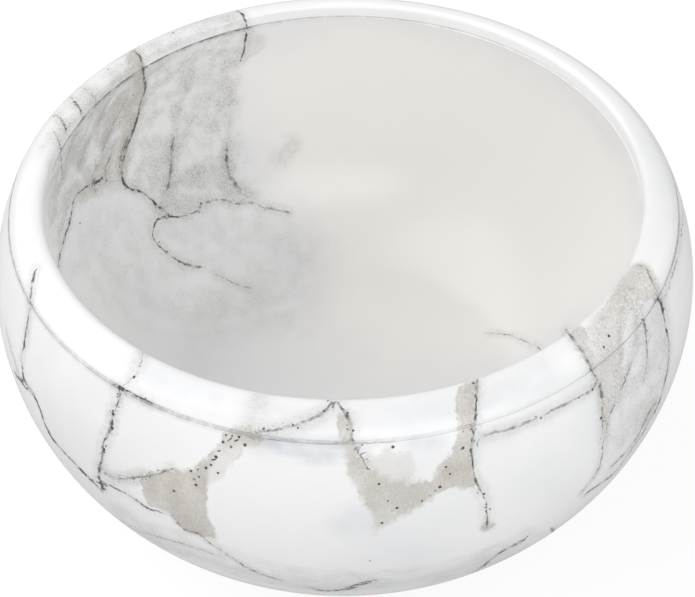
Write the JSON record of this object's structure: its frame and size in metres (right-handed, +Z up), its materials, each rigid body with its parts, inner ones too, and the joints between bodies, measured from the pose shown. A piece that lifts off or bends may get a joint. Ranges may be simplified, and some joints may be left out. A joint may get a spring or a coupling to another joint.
{
  "type": "ring dish",
  "caption": "Round stone ring dish with a deep rounded hollow, a rolled lip and small rubber bumpers under its base, for holding rings and small jewellery.",
  "frame": {"origin": "centre of the plane that the bumpers stand on", "axes": "+Z up along the axis the bowl is turned about, X and Y level with a bumper on each diagonal"},
  "size_m": [0.102, 0.102, 0.0535],
  "materials": {
    "marble": "polished white marble with grey and taupe veins",
    "bumper_rubber": "matt pale grey",
    "adhesive_film": "matt translucent white"
  },
  "bodies": {
    "root": {"marble_bowl": "marble", "bumper_1": "bumper_rubber", "bumper_2": "bumper_rubber", "bumper_3": "bumper_rubber", "bumper_4": "bumper_rubber", "adhesive_disc_1": "adhesive_film", "adhesive_disc_2": "adhesive_film", "adhesive_disc_3": "adhesive_film", "adhesive_disc_4": "adhesive_film"}
  },
  "joints": []
}
